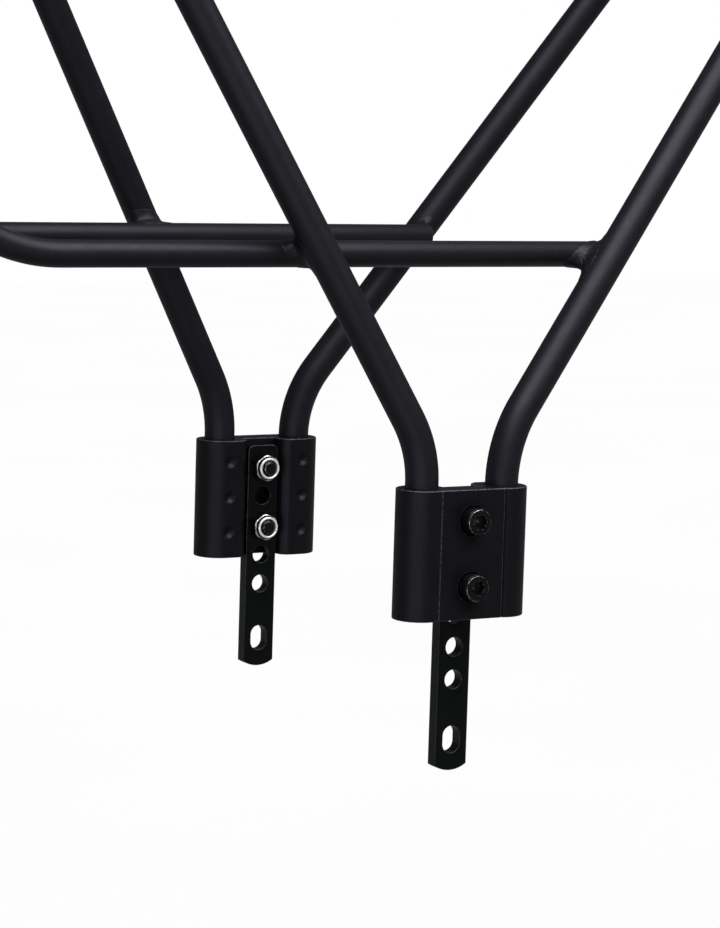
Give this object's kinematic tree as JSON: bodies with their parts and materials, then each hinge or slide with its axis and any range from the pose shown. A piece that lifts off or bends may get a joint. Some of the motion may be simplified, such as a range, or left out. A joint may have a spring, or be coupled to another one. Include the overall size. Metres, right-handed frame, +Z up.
{
  "type": "bicycle rear rack",
  "caption": "Tubular rear luggage rack with V-shaped legs in clamp blocks, slotted dropout plates, lower pannier rails, a ladder deck and adjustable front stays.",
  "frame": {"origin": "midway between the centres of the two dropout slots", "axes": "+X to the front of the bicycle, +Y to its left, +Z up"},
  "size_m": [0.5535, 0.1828, 0.3633],
  "materials": {
    "frame_coat": "satin black powder coat",
    "plate_coat": "semi-gloss black coat",
    "black_oxide": "black oxide",
    "zinc": "bright zinc plate",
    "nylon": "dark nylon",
    "plug_plastic": "moulded black plastic"
  },
  "bodies": {
    "rack": {"right_block": "frame_coat", "left_block": "frame_coat", "right_plate": "plate_coat", "left_plate": "plate_coat", "right_clamp_screws": "black_oxide", "left_clamp_screws": "black_oxide", "right_clamp_nuts": "zinc", "left_clamp_nuts": "zinc", "right_nut_inserts": "nylon", "left_nut_inserts": "nylon", "right_front_leg": "frame_coat", "left_front_leg": "frame_coat", "right_rear_leg": "frame_coat", "left_rear_leg": "frame_coat", "right_lower_rail": "frame_coat", "left_lower_rail": "frame_coat", "right_deck_rail": "frame_coat", "left_deck_rail": "frame_coat", "tail_hoop": "frame_coat", "front_cross_tube": "frame_coat", "rung_1": "frame_coat", "rung_2": "frame_coat", "rung_3": "frame_coat", "rung_4": "frame_coat", "rung_5": "frame_coat", "right_end_plug": "plug_plastic", "left_end_plug": "plug_plastic", "light_bracket": "frame_coat", "right_stay_lug": "frame_coat", "left_stay_lug": "frame_coat"},
    "right_stay_clamp": {"right_stay_screw": "black_oxide", "right_stay_washers": "zinc", "right_stay_nut": "zinc", "right_stay_nut_insert": "nylon"},
    "right_stay": {"right_stay": "plate_coat"},
    "left_stay_clamp": {"left_stay_screw": "black_oxide", "left_stay_washers": "zinc", "left_stay_nut": "zinc", "left_stay_nut_insert": "nylon"},
    "left_stay": {"left_stay": "plate_coat"}
  },
  "joints": [
    {"name": "right_stay_swivel", "type": "hinge", "parent": "rack", "child": "right_stay_clamp", "pos_m": [0.206, -0.031, 0.32], "axis": [0, 1, 0], "range_deg": [-55, 30]},
    {"name": "right_stay_slide", "type": "slide", "parent": "right_stay_clamp", "child": "right_stay", "axis": [0.9781, 0, -0.2079], "range_m": [-0.052, 0.016]},
    {"name": "left_stay_swivel", "type": "hinge", "parent": "rack", "child": "left_stay_clamp", "pos_m": [0.206, 0.031, 0.32], "axis": [0, 1, 0], "range_deg": [-55, 30]},
    {"name": "left_stay_slide", "type": "slide", "parent": "left_stay_clamp", "child": "left_stay", "axis": [0.9781, 0, -0.2079], "range_m": [-0.052, 0.016]}
  ]
}
